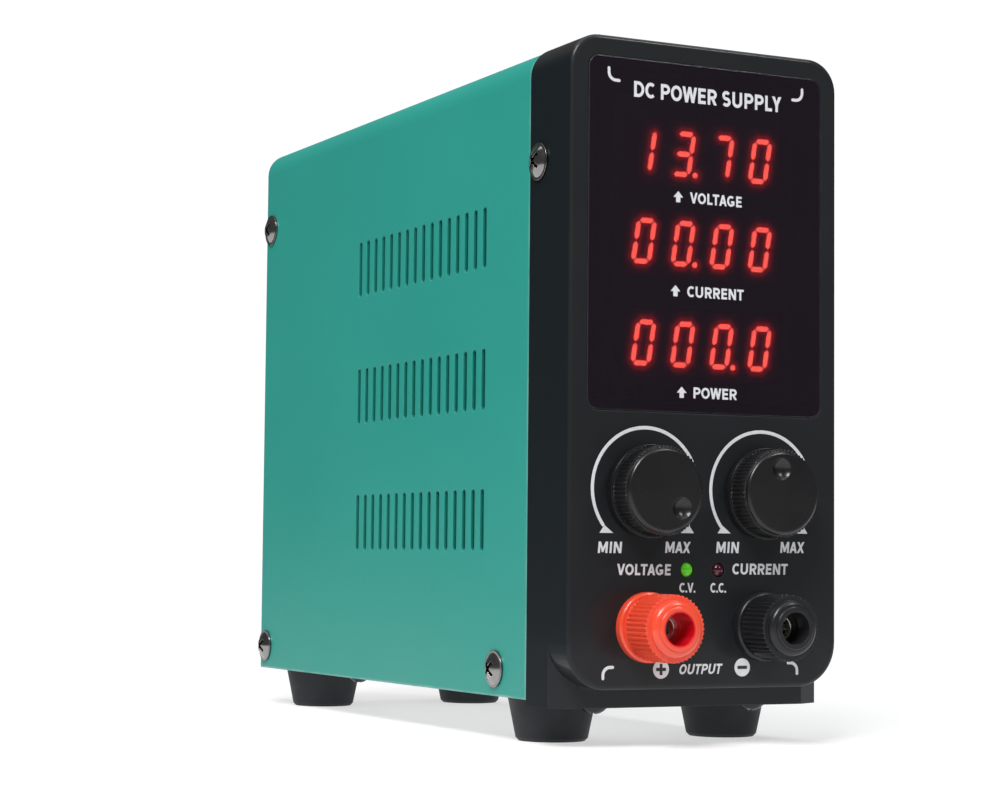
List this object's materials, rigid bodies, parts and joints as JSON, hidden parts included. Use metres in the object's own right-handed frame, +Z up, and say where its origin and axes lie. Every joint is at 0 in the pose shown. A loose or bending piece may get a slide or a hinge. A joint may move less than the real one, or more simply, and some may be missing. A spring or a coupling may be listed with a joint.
{
  "type": "bench power supply",
  "caption": "Compact bench DC power supply with a slotted wrap cover, digital readouts behind a smoked window, two control knobs and two binding posts.",
  "frame": {"origin": "centre of the footprint, on the ground under the feet", "axes": "+X to the right seen from the front, +Y towards the rear, +Z up"},
  "size_m": [0.0854, 0.2314, 0.182],
  "materials": {
    "cover_paint": "fine satin powder coat",
    "bezel_abs": "fine spark-eroded texture",
    "smoked_acrylic": "glossy smoked",
    "galvanised_sheet": "zinc plated",
    "display_grey": "matt",
    "segment_red": "diffused epoxy, lit",
    "board_green": "solder mask",
    "pot_steel": "plated can",
    "nickel": "nickel plated",
    "knob_black": "satin",
    "led_green": "clear epoxy, lit",
    "led_red": "clear epoxy, unlit",
    "terminal_red": "satin nylon",
    "terminal_black": "satin nylon",
    "fibre_black": "matt",
    "tinned_copper": "tinned",
    "foot_rubber": "matt",
    "screw_nickel": "nickel plated",
    "ferrite": "matt ferrite",
    "winding_tape": "polyester tape",
    "can_sleeve": "printed sleeve",
    "copper_wire": "enamelled copper",
    "heatsink_alloy": "extruded",
    "package_black": "moulded epoxy",
    "fan_black": "satin",
    "socket_black": "satin",
    "rocker_red": "gloss",
    "wire_pvc": "PVC insulation"
  },
  "bodies": {
    "supply": {"front_bezel": "bezel_abs", "display_window": "smoked_acrylic", "cover": "cover_paint", "chassis_tray": "galvanised_sheet", "front_frame": "galvanised_sheet", "rear_panel": "galvanised_sheet", "voltage_display": "display_grey", "current_display": "display_grey", "power_display": "display_grey", "lit_segments": "segment_red", "control_board": "board_green", "voltage_pot": "pot_steel", "current_pot": "pot_steel", "pot_nuts": "nickel", "cv_led": "led_green", "cc_led": "led_red", "positive_post_base": "terminal_red", "negative_post_base": "terminal_black", "positive_post_stud": "nickel", "negative_post_stud": "nickel", "post_insulators": "fibre_black", "post_nuts": "nickel", "post_lugs": "tinned_copper", "foot_front_left": "foot_rubber", "foot_front_right": "foot_rubber", "foot_rear_left": "foot_rubber", "foot_rear_right": "foot_rubber", "foot_screws": "screw_nickel", "cover_screws": "screw_nickel", "small_screws": "screw_nickel", "main_board": "board_green", "board_standoffs": "tinned_copper", "transformer_core": "ferrite", "transformer_winding": "winding_tape", "input_capacitors": "can_sleeve", "output_capacitors": "can_sleeve", "input_choke": "copper_wire", "output_choke": "copper_wire", "heatsinks": "heatsink_alloy", "power_transistors": "package_black", "fan_frame": "fan_black", "fan_guard": "screw_nickel", "fan_screws": "screw_nickel", "mains_inlet": "socket_black", "inlet_pins": "nickel", "rocker_frame": "socket_black", "selector_frame": "socket_black", "internal_wiring": "wire_pvc"},
    "voltage_knob": {"voltage_knob": "knob_black", "voltage_shaft": "nickel"},
    "current_knob": {"current_knob": "knob_black", "current_shaft": "nickel"},
    "positive_washer": {"positive_clamp_washer": "nickel"},
    "positive_cap": {"positive_post_cap": "terminal_red"},
    "negative_washer": {"negative_clamp_washer": "nickel"},
    "negative_cap": {"negative_post_cap": "terminal_black"},
    "fan_rotor": {"fan_rotor": "fan_black"},
    "power_rocker": {"power_rocker": "rocker_red"},
    "voltage_selector": {"selector_slider": "rocker_red"}
  },
  "joints": [
    {"name": "voltage_knob_turn", "type": "hinge", "parent": "supply", "child": "voltage_knob", "pos_m": [-0.0175, -0.1042, 0.0653], "axis": [0, 1, 0], "range_deg": [-269, 1]},
    {"name": "current_knob_turn", "type": "hinge", "parent": "supply", "child": "current_knob", "pos_m": [0.0175, -0.1042, 0.0653], "axis": [0, 1, 0], "range_deg": [-129, 141]},
    {"name": "positive_cap_advance", "type": "slide", "parent": "supply", "child": "positive_washer", "axis": [0, -1, 0], "range_m": [-0.001, 0.004]},
    {"name": "positive_cap_turn", "type": "hinge", "parent": "positive_washer", "child": "positive_cap", "pos_m": [-0.0175, -0.1072, 0.0307], "axis": [0, -1, 0], "range_deg": [-360, 1440]},
    {"name": "negative_cap_advance", "type": "slide", "parent": "supply", "child": "negative_washer", "axis": [0, -1, 0], "range_m": [0, 0.005]},
    {"name": "negative_cap_turn", "type": "hinge", "parent": "negative_washer", "child": "negative_cap", "pos_m": [0.0175, -0.1072, 0.0307], "axis": [0, -1, 0], "range_deg": [0, 1800]},
    {"name": "fan_spin", "type": "hinge", "parent": "supply", "child": "fan_rotor", "pos_m": [0, 0.1008, 0.128], "axis": [0, 1, 0], "continuous": true},
    {"name": "power_rocker_tip", "type": "hinge", "parent": "supply", "child": "power_rocker", "pos_m": [-0.018, 0.1113, 0.076], "axis": [1, 0, 0], "range_deg": [-20, 0]},
    {"name": "voltage_selector_slide", "type": "slide", "parent": "supply", "child": "voltage_selector", "axis": [1, 0, 0], "range_m": [0, 0.0052]}
  ],
  "couplings": [
    {"joint": "positive_cap_advance", "follows": "positive_cap_turn", "m_per_rad": 0.00015915},
    {"joint": "negative_cap_advance", "follows": "negative_cap_turn", "m_per_rad": 0.00015915}
  ]
}
